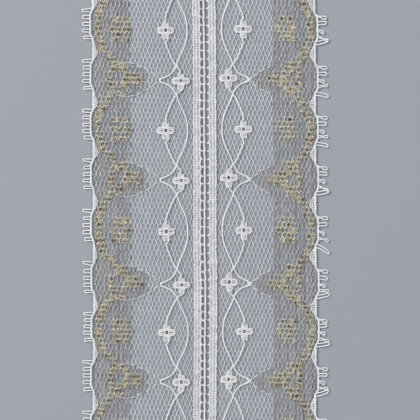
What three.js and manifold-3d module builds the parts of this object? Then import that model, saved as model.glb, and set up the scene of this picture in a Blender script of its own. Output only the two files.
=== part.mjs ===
// Raschel lace galloon: one flat knitted web with two scalloped, picot-edged sides.
// The lace is knitted in one go, so it is one solid: a thin net ground with its outline, the
// open ladder down its middle, and, raised on it, two closed bands, two pairs of crossing
// gimp vines and the small crosses that hang on them.
// Millimetres, +Z up. The lace lies face up on its underside at Z = 0, its length along Y.
// The origin is on the underside, at the middle of the width and of the length.

import * as THREE from "three";
import { mergeVertices } from "three/addons/utils/BufferGeometryUtils.js";
import Module from "manifold-3d";

// Driving dimensions: everything across the lace is counted in wales, along it in courses.
const WALE = 1.41; // needle spacing of an 18-gauge raschel machine
const COURSE = 0.574; // height of one knitted course
const COURSES_LONG = 255; // the cut length: four and a quarter repeats
const REPEAT = 60; // courses from one rosette scallop to the next
const SCALLOP = REPEAT / 2; // courses in one scallop
const LENGTH = COURSES_LONG * COURSE;
const END = LENGTH / 2;

// Thicknesses.
const NET_THICK = 1.0;
const GIMP_TOP = 1.3; // vines and crosses
const BAND_TOP = 1.4;
const ROOT = 0.5; // raised forms start this far up inside the ground

// Picots: hairpin loops along the scallops.
const PICOT_WIDTH = 1.3;
const PICOT_PITCH = 4 * COURSE;
const TIP_STEPS = 4; // straight pieces round a picot's tip
const EDGE_STEP = 2 * COURSE; // spacing of the points along the scallops
const STEP_UP_FROM = 0.18; // share of a scallop from a valley's middle to where it rises
const STEP_UP_TO = 0.32;

// The five picots of a scallop, from the lowest to the highest.
// step: pitches from the crest; lean: rise of the tip; short: less reach than the longest.
const NEAT = [
  { step: -2, lean: 0, short: 0.4 },
  { step: -1, lean: 0, short: 0 },
  { step: 0, lean: 0, short: 0.1 },
  { step: 1, lean: 0.1, short: 0.15 },
  { step: 2, lean: 0.25, short: 0 },
];
const UNRULY = [
  { step: -2, lean: -0.4, short: 0 },
  { step: -1, lean: 0.1, short: 0.35 },
  { step: 0, lean: -0.75, short: 1.5 },
  { step: 1, lean: -0.1, short: 0.8 },
  { step: 2, lean: -0.6, short: 0.6 },
];

// Middle ladder: two bands, a centre cord and the rungs between them.
const BAND_INNER = 1.33;
const BAND_OUTER = 4.04;
const CORD_FROM = -0.46;
const CORD_TO = 0.18;
const LEDGE = 0.08; // the ground shows this far beside a band, along the ladder
const LADDER_GAPS = [
  [LEDGE - BAND_INNER, CORD_FROM],
  [CORD_TO, BAND_INNER - LEDGE],
];
const RUNG_PITCH = 5 * COURSE;
const RUNG_WIDTH = 0.5;

// Gimp vines and crosses.
const VINE_WIDTH = 0.6;
const CROSS_HALF_WIDTH = 3.1;
const CROSS_ABOVE = 2.7; // its middle to its top
const CROSS_BELOW = 3.2; // its middle to its foot
const CROSS_ARM_HALF = 1.0; // half the height of its arms
const CROSS_POST_HALF = 1.25; // half the width of its upright

// The two halves are mirror images that run a few courses out of step.
// rosette: course of a rosette-side cross; fan: course of a fan-side cross;
// crest: course of a scallop's middle picot; valley: course of a valley's middle;
// crestOut and valleyOut: middle of the lace to the edge there;
// reach: middle of the lace to the tip of the longest picot; picots: their table.
const HALVES = [
  {
    side: 1,
    rosette: -12,
    fan: 18.7,
    crest: -12.7,
    valley: 3.3,
    crestOut: 39.0,
    valleyOut: 38.05,
    reach: 42.7,
    picots: UNRULY,
  },
  {
    side: -1,
    rosette: -12.6,
    fan: 17.1,
    crest: -8.8,
    valley: 6.0,
    crestOut: 39.3,
    valleyOut: 38.35,
    reach: 42.0,
    picots: NEAT,
  },
];

// Half a repeat of the vines. course: from the rosette-side cross towards the next one;
// loop and link: wales out from the middle. The other half of the repeat mirrors it.
const VINES = [
  { course: 0, loop: 4.2, link: 9.4 },
  { course: 7, loop: 4.5, link: 9.4 },
  { course: 14, loop: 5.6, link: 8.4 },
  { course: 21, loop: 6.95, link: 6.95 },
  { course: 25, loop: 8.0, link: 5.85 },
  { course: 30, loop: 10.7, link: 5.75 },
];

// How the lace lies: it is stretched and bunched a little along its length, and bends.
// at: place on the even lace; shift: how far that place has crept along the lace;
// sway: how far it has strayed to the right.
const LAY = [
  { at: -END, shift: 0, sway: -0.2 },
  { at: -59, shift: 0.3, sway: 0 },
  { at: -41.5, shift: -0.15, sway: 0.15 },
  { at: -24, shift: -1.0, sway: 0.22 },
  { at: -7, shift: -0.05, sway: 0.12 },
  { at: 10, shift: 0.3, sway: 0.1 },
  { at: 28, shift: 0, sway: 0.1 },
  { at: 45, shift: -0.1, sway: 0.1 },
  { at: 62, shift: -0.2, sway: 0 },
  { at: END, shift: 0, sway: -0.1 },
];

const wasm = await Module();
wasm.setup();

// A closed three.js geometry as a manifold-3d solid.
function solidOf(geometry) {
  const bare = geometry.clone();
  bare.deleteAttribute("normal");
  bare.deleteAttribute("uv");
  const merged = mergeVertices(bare, 1e-4);
  return new wasm.Manifold(
    new wasm.Mesh({
      numProp: 3,
      vertProperties: merged.attributes.position.array,
      triVerts: new Uint32Array(merged.index.array),
    }),
  );
}

// A manifold-3d solid back as a three.js geometry.
function geometryOf(solid) {
  const mesh = solid.getMesh();
  return new THREE.BufferGeometry()
    .setAttribute("position", new THREE.BufferAttribute(mesh.vertProperties, 3))
    .setIndex(new THREE.BufferAttribute(mesh.triVerts, 1))
    .toNonIndexed();
}

// A value from a table at a place, by straight lines between the table's rows.
function between(table, key, column, place) {
  const next = table.findIndex((row) => row[key] >= place);
  if (next === 0) return table[0][column];
  if (next < 0) return table[table.length - 1][column];
  const [a, b] = [table[next - 1], table[next]];
  return THREE.MathUtils.mapLinear(place, a[key], b[key], a[column], b[column]);
}

// A place on the even lace, moved to where it really lies.
function laid(x, y) {
  const sway = between(LAY, "at", "sway", y);
  return new THREE.Vector2(x + sway, y + between(LAY, "at", "shift", y));
}

// A flat outline raised from one height to another.
function slab(points, from, to) {
  const flat = new THREE.ExtrudeGeometry(new THREE.Shape(points), {
    depth: to - from,
    bevelEnabled: false,
    steps: 1,
  });
  return solidOf(flat.translate(0, 0, from));
}

function rectangle(x0, y0, x1, y1) {
  return [laid(x0, y0), laid(x1, y0), laid(x1, y1), laid(x0, y1)];
}

// Courses of what comes once a step, wholly on the cut length with some room to spare.
function coursesOf(first, step, room) {
  const courses = [];
  const last = Math.ceil(COURSES_LONG / step);
  for (let n = -last; n <= last; n += 1) {
    const course = first + n * step;
    if (Math.abs(course * COURSE) + room < END) courses.push(course);
  }
  return courses;
}

// Middle of the lace to its edge: straight in the valleys, a smooth step up to the crests.
function edgeReach(y, half) {
  const scallops = (y / COURSE - half.valley) / SCALLOP;
  const share = Math.abs(scallops - Math.round(scallops));
  const up = THREE.MathUtils.smoothstep(share, STEP_UP_FROM, STEP_UP_TO);
  return half.valleyOut + (half.crestOut - half.valleyOut) * up;
}

// One picot: out of the edge, round its tip and back, going up the edge.
function picotOutline(y, half, row) {
  const radius = PICOT_WIDTH / 2;
  const reach = half.reach - row.short;
  const tip = y + row.lean;
  const { side } = half;
  const points = [laid(side * edgeReach(y - radius, half), y - radius)];
  for (let i = 0; i <= TIP_STEPS; i += 1) {
    const angle = -Math.PI / 2 + (Math.PI * i) / TIP_STEPS;
    const out = reach - radius + radius * Math.cos(angle);
    points.push(laid(side * out, tip + radius * Math.sin(angle)));
  }
  points.push(laid(side * edgeReach(y + radius, half), y + radius));
  return points;
}

// The edge of one half from the lower cut to the upper one: the scallops, and the picots
// in place of the scallops' own points.
function edgeOutline(half) {
  const picots = half.picots.flatMap((row) => {
    const first = half.crest + (row.step * PICOT_PITCH) / COURSE;
    return coursesOf(first, SCALLOP, PICOT_WIDTH).map((course) => {
      const height = course * COURSE;
      return { height, points: picotOutline(height, half, row) };
    });
  });
  const stretches = [...picots];
  const clear = PICOT_WIDTH / 2 + EDGE_STEP / 4;
  const steps = Math.round(LENGTH / EDGE_STEP);
  for (let i = 0; i <= steps; i += 1) {
    const height = -END + (LENGTH * i) / steps;
    if (picots.some((picot) => Math.abs(picot.height - height) < clear)) continue;
    stretches.push({ height, points: [laid(half.side * edgeReach(height, half), height)] });
  }
  return stretches.sort((a, b) => a.height - b.height).flatMap((stretch) => stretch.points);
}

// The ground: the scalloped outline with its picots, less the openings of the ladder.
function ground() {
  const right = edgeOutline(HALVES[0]);
  const left = edgeOutline(HALVES[1]);
  let net = slab([...right, ...left.reverse()], 0, NET_THICK);
  const rungs = Math.round(LENGTH / RUNG_PITCH);
  for (let i = 0; i < rungs; i += 1) {
    const y0 = (i - rungs / 2) * RUNG_PITCH + RUNG_WIDTH / 2;
    const y1 = y0 + RUNG_PITCH - RUNG_WIDTH;
    for (const [x0, x1] of LADDER_GAPS) {
      net = net.subtract(slab(rectangle(x0, y0, x1, y1), -NET_THICK, 2 * NET_THICK));
    }
  }
  return net;
}

// A closed band, from one cut to the other.
function band(side) {
  const [x0, x1] = [side * BAND_INNER, side * BAND_OUTER].sort((a, b) => a - b);
  const right = LAY.map((row) => laid(x1, row.at));
  const left = LAY.map((row) => laid(x0, row.at));
  return slab([...right, ...left.reverse()], ROOT, BAND_TOP);
}

// Middle of the lace to a vine at a course.
function vineOut(course, half, column) {
  const repeats = (course - half.rosette) / REPEAT;
  const along = Math.abs(repeats - Math.round(repeats)) * REPEAT;
  return between(VINES, "course", column, along) * WALE;
}

// Courses at which a vine bends: the rows of the table, up and down from each rosette.
function vineCourses(half) {
  const end = COURSES_LONG / 2;
  const bends = [-end, end];
  const last = Math.ceil(COURSES_LONG / REPEAT);
  for (let n = -last; n <= last; n += 1) {
    for (const row of VINES) {
      const rosette = half.rosette + n * REPEAT;
      bends.push(rosette - row.course, rosette + row.course);
    }
  }
  return bends
    .filter((course) => Math.abs(course) === end || Math.abs(course) < end - 1)
    .sort((a, b) => a - b)
    .filter((course, i, all) => i === 0 || course - all[i - 1] > 0.5);
}

// A vine as a flat ribbon along its line, as wide as the gimp yarn.
function vine(half, column) {
  const line = vineCourses(half).map((course) =>
    laid(half.side * vineOut(course, half, column), course * COURSE),
  );
  const flank = (sign) =>
    line.map((p, i) => {
      const before = line[Math.max(i - 1, 0)];
      const after = line[Math.min(i + 1, line.length - 1)];
      const along = after.clone().sub(before).normalize();
      const across = new THREE.Vector2(along.y, -along.x);
      const at = p.clone().addScaledVector(across, (sign * VINE_WIDTH) / 2);
      at.y = THREE.MathUtils.clamp(at.y, -END, END);
      return at;
    });
  return slab([...flank(1), ...flank(-1).reverse()], ROOT, GIMP_TOP);
}

// A cross on the link vine at a course.
function cross(half, course) {
  const x = half.side * vineOut(course, half, "link");
  const y = course * COURSE;
  const [w, a, p] = [CROSS_HALF_WIDTH, CROSS_ARM_HALF, CROSS_POST_HALF];
  const upright = rectangle(x - p, y - CROSS_BELOW, x + p, y + CROSS_ABOVE);
  const arms = rectangle(x - w, y - a, x + w, y + a);
  return slab(upright, ROOT, GIMP_TOP).add(slab(arms, ROOT, GIMP_TOP));
}

function lace() {
  let web = ground();
  for (const half of HALVES) {
    web = web.add(band(half.side));
    web = web.add(vine(half, "loop")).add(vine(half, "link"));
    for (const first of [half.rosette, half.fan]) {
      for (const course of coursesOf(first, REPEAT, CROSS_BELOW)) {
        web = web.add(cross(half, course));
      }
    }
  }
  return web;
}

const whiteYarn = new THREE.MeshStandardMaterial({
  color: "#e9e9ec",
  roughness: 0.6,
  metalness: 0,
});

const web = new THREE.Mesh(geometryOf(lace()), whiteYarn);
web.name = "lace_trim";

const trim = new THREE.Group();
trim.add(web);

export default trim;
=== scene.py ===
"""Raschel lace galloon laid flat, face up, on a plain pale floor.

The lace is one knitted web: a hexagonal net ground, two closed bands with an open
ladder between them, white gimp vines and crosses, dull gold inlay motifs, and two
scalloped edges with picot loops. Every yarn is a section carried along a path, and
all the paths come from the machine's needle spacing and course height.

Sizes are millimetres until a mesh is made, which is in metres. X runs across the
lace, Y along it and Z up out of its face.
"""

import sys
import logging
import math
from dataclasses import dataclass, field
from enum import Enum
from typing import NamedTuple, TypeVar

import bpy
import numpy as np
from numpy.typing import NDArray
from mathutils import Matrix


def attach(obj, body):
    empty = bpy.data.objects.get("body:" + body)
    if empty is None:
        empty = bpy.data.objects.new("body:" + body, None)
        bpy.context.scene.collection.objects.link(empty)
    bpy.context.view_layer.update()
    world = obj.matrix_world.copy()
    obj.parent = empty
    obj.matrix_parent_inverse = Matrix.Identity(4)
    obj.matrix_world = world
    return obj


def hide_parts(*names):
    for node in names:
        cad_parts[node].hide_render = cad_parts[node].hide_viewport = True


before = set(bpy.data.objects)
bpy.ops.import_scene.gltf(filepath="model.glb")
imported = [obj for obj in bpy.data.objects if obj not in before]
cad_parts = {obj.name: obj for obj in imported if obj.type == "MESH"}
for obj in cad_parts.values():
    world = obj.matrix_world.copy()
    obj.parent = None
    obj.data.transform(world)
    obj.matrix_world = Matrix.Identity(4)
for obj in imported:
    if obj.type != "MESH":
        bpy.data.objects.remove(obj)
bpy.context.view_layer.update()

Grid = NDArray[np.float64]
Mask = NDArray[np.bool_]
Pair = tuple[float, float]
Passed = tuple[Grid, Grid, Grid, Grid]
Either = TypeVar("Either")

log = logging.getLogger("lace")

MM = 0.001
WALE = 1.41  # needle spacing of an 18-gauge raschel machine
COURSE = 0.574  # height of one knitted course
COURSES_LONG = 255
LENGTH = COURSES_LONG * COURSE
END = LENGTH / 2
REPEAT = 60  # courses from one rosette scallop to the next
SCALLOP = REPEAT / 2
ROW = 3 * COURSE  # one row of the net's holes
ROW_SLOPE = -0.035  # the courses run a little downhill from left to right

BAND_INNER = 1.33
BAND_OUTER = 4.04
RUNG_PITCH = 5 * COURSE
CORD_OUT = -0.14

# How the lace lies: heights on the even lace, how far each has crept along the lace, and
# how far it has strayed to the right.
LAY_AT = (-END, -59.0, -41.5, -24.0, -7.0, 10.0, 28.0, 45.0, 62.0, END)
LAY_SHIFT = (0.0, 0.3, -0.15, -1.0, -0.05, 0.3, 0.0, -0.1, -0.2, 0.0)
LAY_SWAY = (-0.2, 0.0, 0.15, 0.22, 0.12, 0.1, 0.1, 0.1, 0.0, -0.1)

# Half a repeat of the vines, from the rosette-side cross on: courses, and wales out.
VINE_COURSES = (0.0, 3.0, 6.0, 9.0, 12.0, 15.0, 18.0, 21.0, 24.0, 27.0, 30.0)
LOOP_WALES = (4.2, 4.2, 4.4, 4.77, 5.27, 5.85, 6.43, 6.8, 7.4, 8.4, 11.7)
LINK_WALES = (9.4, 9.4, 9.45, 9.3, 8.75, 8.3, 7.75, 6.9, 6.0, 5.75, 5.75)

# The two dashed lines that open from a vine's apex round a fan: out, and up or down.
TEARDROP_OUT = (15.5, 19.0, 24.2, 27.0, 29.5, 31.5)
TEARDROP_HIGH = (0.4, 3.1, 5.5, 5.9, 5.4, 4.5)

# Weights that soften a vine's table, over steps of half a course.
SOFTENING = np.array([1, 3, 5, 7, 8, 7, 5, 3, 1]) / 40
SOFT = len(SOFTENING) // 2

# How fast the edge steps up from a valley to a crest, and how late it starts.
STEP_RATE = 7.0
STEP_START = 1.25

# Finer unevenness: a small sway, and how far the web lifts off the floor in its middle
# and, more, out at its edges, by ripples of these lengths.
FINE_SWAY = 0.04
FINE_WAVE = 7.3
LIFT = 0.08
EDGE_LIFT = 0.17
LIFT_AT = 42.0
RIPPLES = (6.1, 9.7, 31.0)

# Heights of the yarns' middles above the underside.
NET_HIGH = 0.30
DASH_HIGH = 0.34
GOLD_LOW = 0.36
FILL_HIGH = 0.42
GOLD_HIGH = 0.47
PICOT_HIGH = 0.5
EDGE_HIGH = 0.6
WEFT_HIGH = 0.60
TIE_HIGH = 0.6
LOOP_HIGH = 0.62
FILLING_HIGH = 0.68
LADDER_CORD_HIGH = 0.70
VINE_HIGH = 0.72
APEX_HIGH = 0.74
RIM_HIGH = 0.74
CROSS_HIGH = 0.80
PILLAR_HIGH = 0.82
POST_HIGH = 1.0
SQUASH = 0.85  # height of a yarn over its width, as it lies


def xyz(x: Grid | float, y: Grid | float, z: Grid | float) -> Grid:
    """Points, with X, Y and Z on the last axis."""
    return np.stack(np.broadcast_arrays(x, y, z), axis=-1)


def settle(even: Grid) -> Grid:
    """Lays points of the even lace where the limp lace really lies.

    They creep along the lace and sway across it by the lay tables; upwards the web
    ripples by a product of two slow sines, more at the edges.

    Args:
        even: points of the even lace, last axis X, Y, Z.

    Returns:
        The same points, laid.
    """
    x, y, z = np.moveaxis(even, -1, 0)
    sway = np.interp(y, LAY_AT, LAY_SWAY) + FINE_SWAY * np.sin(y / FINE_WAVE)
    creep = np.interp(y, LAY_AT, LAY_SHIFT) * (np.abs(y) < END)
    across, along, askew = RIPPLES
    ripple = (1 + np.sin(x / across + 0.7) * np.sin(y / along + x / askew)) / 2
    lift = ripple * (LIFT + EDGE_LIFT * (np.abs(x) / LIFT_AT) ** 2)
    return xyz(x + sway, y + creep, z + lift)


class Side(Enum):
    """The sides of the lace, seen from above with its length upright."""

    LEFT = -1
    RIGHT = 1


class Picot(NamedTuple):
    """One of a scallop's picots: how it stands in its place and how far it strays."""

    step: float  # pitches from the crest
    lean: float  # rise of its tip
    short: float  # how much less it reaches than the edge's longest
    pinch: float  # how far its legs close up, as a share
    at: float  # where they do, as a share of their way out
    unrest: float  # standard deviation of its lean


# A scallop's picots from the lowest up: neat ones, and the unruly ones of a worn edge.
NEAT = (
    Picot(-2.0, 0.0, 0.40, 0.10, 0.5, 0.12),
    Picot(-1.0, 0.0, 0.00, 0.15, 0.5, 0.12),
    Picot(0.0, 0.0, 0.10, 0.10, 0.5, 0.12),
    Picot(1.0, 0.1, 0.15, 0.10, 0.5, 0.12),
    Picot(2.0, 0.25, -0.05, 0.25, 0.7, 0.15),
)
UNRULY = (
    Picot(-2.0, -0.4, 0.00, 0.00, 0.5, 1.00),
    Picot(-1.0, 0.2, 0.35, 0.80, 0.5, 0.75),
    Picot(0.0, -1.2, 1.50, 0.60, 0.4, 0.40),
    Picot(1.0, -0.1, 0.80, 0.10, 0.4, 0.20),
    Picot(2.0, -0.6, 0.60, 0.90, 0.3, 0.25),
)


@dataclass(frozen=True)
class Half:
    """One half of the lace, from its middle out to a scalloped edge.

    What is called out, from, to or reach is a distance from the middle of the lace.
    """

    which: Side  # the side that it is on
    rosette: float  # course of a rosette-side cross
    fan_lag: float  # courses that a fan-side cross lies above its even place
    motif: float  # course of a rosette's middle
    crest: float  # course of a scallop's middle picot
    valley: float  # course of the middle of a valley between scallops
    crest_out: float  # the edge at a crest
    valley_out: float  # the edge at a valley
    rosette_out: float  # a rosette's middle
    net_row: int  # number of the net's row that crosses the lace's middle height
    gold_from: float  # where the gold border begins
    fan_from: float  # where a fan's gold begins
    dashed_to: float  # where the dashed lines end
    reach: float  # the tip of its longest picot
    picots: tuple[Picot, ...]  # the picots of each of its scallops
    seed: int  # start of its random draws

    @property
    def name(self) -> str:
        """Left or right, for the names of its pieces."""
        return self.which.name.lower()

    @property
    def side(self) -> int:
        """-1 on the left, 1 on the right."""
        return self.which.value

    def edge(self, y: Grid) -> Grid:
        """Middle to edge: straight in valleys, with a smooth step up to each crest.

        Args:
            y: heights.

        Returns:
            Distances out.
        """
        share = (y / COURSE - self.valley) / SCALLOP
        up = np.clip(np.abs(share - np.round(share)) * STEP_RATE - STEP_START, 0, 1)
        return self.valley_out + (self.crest_out - self.valley_out) * (3 - 2 * up) * up**2

    def place(self, out: Grid | float, y: Grid | float, z: Grid | float) -> Grid:
        """Points of this half, from how far out they lie, along the lace and up."""
        return xyz(self.side * out, y, z)

    def draws(self, number: int) -> np.random.Generator:
        """The random draws of one of this half's pieces, by its number."""
        return np.random.default_rng(self.seed + number)

    def pick(self, pair: tuple[Either, Either]) -> Either:
        """This half's one of two values, the left's and the right's."""
        return pair[0 if self.which is Side.LEFT else 1]

    def vine(self, courses: Grid, wales: tuple[float, ...]) -> Grid:
        """Middle to a vine, from half a repeat of it, mirrored and repeated.

        Args:
            courses: where along the lace.
            wales: its table, in wales out.

        Returns:
            Distances out.
        """
        repeats = (courses - self.rosette) / REPEAT
        along = np.abs(repeats - np.round(repeats)) * REPEAT
        fine = np.linspace(0, SCALLOP, 2 * int(SCALLOP) + 1)
        line = np.interp(fine, VINE_COURSES, wales)
        padded = np.concatenate([line[SOFT:0:-1], line, line[-2 : -2 - SOFT : -1]])
        soft = np.convolve(padded, SOFTENING, "valid")
        return np.interp(along, fine, soft) * WALE

    def heights(self, first: float, step: float = SCALLOP, room: float = 0.0) -> Grid:
        """Heights of what comes every so many courses, wholly on the cut length.

        Args:
            first: course of one of them.
            step: courses from one to the next.
            room: half the height that each needs.

        Returns:
            The heights, in millimetres.
        """
        count = math.ceil(COURSES_LONG / step)
        courses = first + step * np.arange(-count, count + 1)
        return courses[np.abs(courses * COURSE) + room < END] * COURSE

    def crosses(self, room: float = 0.0) -> Grid:
        """Heights of the crosses: the rosette-side ones, then the fan-side ones."""
        starts = (self.rosette, self.rosette + SCALLOP + self.fan_lag)
        return np.concatenate([self.heights(start, REPEAT, room) for start in starts])


HALVES = (
    Half(
        which=Side.LEFT, rosette=-12.6, fan_lag=-0.3, motif=-12.0, crest=-8.8, valley=6.0,
        crest_out=39.3, valley_out=38.35, rosette_out=28.7, net_row=44, gold_from=25.5,
        fan_from=20.0, dashed_to=31.2, reach=42.0, picots=NEAT, seed=11,
    ),
    Half(
        which=Side.RIGHT, rosette=-12.0, fan_lag=0.7, motif=-12.6, crest=-12.7, valley=3.3,
        crest_out=39.0, valley_out=38.05, rosette_out=28.0, net_row=45, gold_from=23.3,
        fan_from=17.0, dashed_to=22.2, reach=42.7, picots=UNRULY, seed=23,
    ),
)


@dataclass
class Yarns:
    """Swept yarns waiting to be joined into one mesh."""

    points: Grid  # mesh points
    quads: NDArray[np.int64]  # four point numbers a face
    quad_uv: Grid  # for each quad corner, millimetres along the yarn and turns round it
    caps: NDArray[np.int64]  # point numbers of the end faces
    lot: Grid  # for each point, the shade of its yarn, 0 to 1: a random tone, and on gold threads painted glints


def sweep(
    paths: Grid,
    wide: Grid | float,
    high: Grid | float,
    sides: int,
    keep: Mask | None = None,
    lot: Grid | float = 0.8,
) -> Yarns:
    """Lays paths as the lace lies, and carries a flattened round section along each.

    A ring's point is the path's point, plus half the width times the cosine of its
    angle along the level direction across the path, plus half the height times the
    sine along the direction square to both. Ends are closed.

    Args:
        paths: yarns by points by X, Y, Z, on the even lace.
        wide: width of the yarn, level and across its path.
        high: height of the yarn.
        sides: points in a ring.
        keep: which rings are really there; a yarn may stop and start again.
        lot: shade of each yarn or ring, from 0 for the darkest; on gold it holds painted glints.

    Returns:
        The swept yarns.
    """
    paths = settle(paths)
    count, steps, _ = paths.shape
    keep = np.ones((count, steps), bool) if keep is None else keep
    tangent = np.gradient(paths, axis=1)
    level = np.stack([tangent[..., 1], -tangent[..., 0], 0 * tangent[..., 0]], axis=-1)
    level /= np.linalg.norm(level, axis=-1, keepdims=True) + 1e-9
    up = np.cross(level, tangent)
    up /= np.linalg.norm(up, axis=-1, keepdims=True) + 1e-9
    turn = (np.arange(sides) + 0.5) / sides
    cos, sin = np.cos(2 * np.pi * turn), np.sin(2 * np.pi * turn)
    wide = np.broadcast_to(wide, (count, steps))[..., None, None] / 2
    high = np.broadcast_to(high, (count, steps))[..., None, None] / 2
    rings = paths[:, :, None] + wide * cos[:, None] * level[:, :, None]
    rings = rings + high * sin[:, None] * up[:, :, None]
    ring = np.arange(count * steps * sides).reshape(count, steps, sides)
    link = keep[:, :-1] & keep[:, 1:]
    this, following = ring[:, :-1], ring[:, 1:]
    corners = [this, following, np.roll(following, -1, 2), np.roll(this, -1, 2)]
    quads = np.stack(corners, axis=-1)[link]
    hop = np.linalg.norm(np.diff(paths, axis=1), axis=-1)
    along = np.concatenate([np.zeros((count, 1)), np.cumsum(hop, axis=1)], axis=1)
    start = np.repeat(along[:, :-1, None], sides, 2)
    stop = np.repeat(along[:, 1:, None], sides, 2)
    near = np.broadcast_to(np.arange(sides) / sides, start.shape)
    far = near + 1 / sides
    corners = [(start, near), (stop, near), (stop, far), (start, far)]
    quad_uv = np.stack([np.stack(corner, -1) for corner in corners], axis=-2)[link]
    before = np.pad(link, ((0, 0), (1, 0)))
    after = np.pad(link, ((0, 0), (0, 1)))
    caps = np.concatenate([ring[after & ~before], ring[before & ~after][:, ::-1]])
    used = np.unique(quads)
    place = np.zeros(ring.size, np.int64)
    place[used] = np.arange(used.size)
    shade = np.broadcast_to(np.asarray(lot, float), (count, steps))
    shades = np.repeat(shade.ravel(), sides)
    return Yarns(
        rings.reshape(-1, 3)[used],
        place[quads].reshape(-1, 4),
        quad_uv.reshape(-1, 4, 2),
        place[caps],
        shades[used],
    )


def placed(name: str, data: bpy.types.ID | None) -> bpy.types.Object:
    """Makes an object and puts it in the scene.

    Args:
        name: its name.
        data: its mesh, lamp or camera.

    Returns:
        The object.
    """
    made = bpy.data.objects.new(name, data)
    bpy.context.scene.collection.objects.link(made)
    return made


def piece(name: str, parts: list[Yarns], finish: "Finish") -> bpy.types.Object:
    """Joins swept yarns into one mesh object, dresses it and hangs it on the frame.

    Args:
        name: the object's name.
        parts: the yarns to join.
        finish: its material.

    Returns:
        The finished piece.
    """
    firsts = np.cumsum([0] + [len(part.points) for part in parts[:-1]])
    points = np.concatenate([part.points for part in parts]) * MM
    faces: list[list[int]] = []
    for part, first in zip(parts, firsts):
        faces += (part.quads + first).tolist()
    uv = [part.quad_uv.reshape(-1, 2) for part in parts]
    for part, first in zip(parts, firsts):
        faces += (part.caps + first).tolist()
        uv.append(np.zeros((part.caps.size, 2)))
    mesh = bpy.data.meshes.new(name)
    mesh.from_pydata(points, [], faces)
    mesh.uv_layers.new(name="yarn").data.foreach_set("uv", np.concatenate(uv).ravel())
    lot = mesh.attributes.new("lot", "FLOAT", "POINT")
    lot.data.foreach_set("value", np.concatenate([part.lot for part in parts]))
    mesh.polygons.foreach_set("use_smooth", np.ones(len(faces), bool))
    mesh.materials.append(finish.material())
    mesh.update()
    made = placed(name, mesh)
    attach(made, "root")
    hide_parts("lace_trim")
    mesh.calc_loop_triangles()
    log.info("%s: %d triangles", name, len(mesh.loop_triangles))
    return made


SHADE_SPAN = 0.5  # of shade, from a yarn's dark colour to its light one
PATCH_SPAN = (0.3, 0.7)  # of patch, from dull to smooth
BUMP = 0.6  # strength of the grooves' relief


def linear(code: str) -> tuple[float, float, float, float]:
    """Turns an sRGB colour linear: a straight line near black, else a power of 2.4.

    Args:
        code: the colour in hex.

    Returns:
        Linear red, green and blue, and full alpha.
    """
    parts = [int(code[i : i + 2], 16) / 255 for i in (1, 3, 5)]
    red, green, blue = (
        v / 12.92 if v <= 0.04045 else ((v + 0.055) / 1.055) ** 2.4 for v in parts
    )
    return red, green, blue, 1.0


@dataclass
class Nodes:
    """The nodes of a material, added one by one."""

    tree: bpy.types.NodeTree

    def add(
        self,
        kind: str,
        settings: dict[int | str, object],
        links: dict[int | str, bpy.types.NodeSocket] | None = None,
        output: int | str = 0,
    ) -> bpy.types.NodeSocket | None:
        """Adds a node.

        Args:
            kind: the node's type.
            settings: properties by name, and input values by number or by their name.
            links: sockets to link in, by the input's number or name.
            output: number or name of the output wanted.

        Returns:
            That output's socket, if the node has any.
        """
        node = self.tree.nodes.new("ShaderNode" + kind)
        for key, value in settings.items():
            if isinstance(key, str) and hasattr(node, key):
                setattr(node, key, value)
            else:
                node.inputs[key].default_value = value
        for key, socket in (links or {}).items():
            self.tree.links.new(socket, node.inputs[key])
        return node.outputs[output] if node.outputs else None

    def scaled(
        self,
        value: bpy.types.NodeSocket,
        factor: float,
        plus: bpy.types.NodeSocket | None = None,
    ) -> bpy.types.NodeSocket:
        """Multiplies a value, and adds another to it if there is one.

        Args:
            value: the value to multiply.
            factor: what it is multiplied by.
            plus: the value to add.

        Returns:
            The result's socket.
        """
        operation = "MULTIPLY_ADD" if plus else "MULTIPLY"
        links = {0: value, 2: plus} if plus else {0: value}
        return self.add("Math", {"operation": operation, 1: factor}, links)


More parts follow.
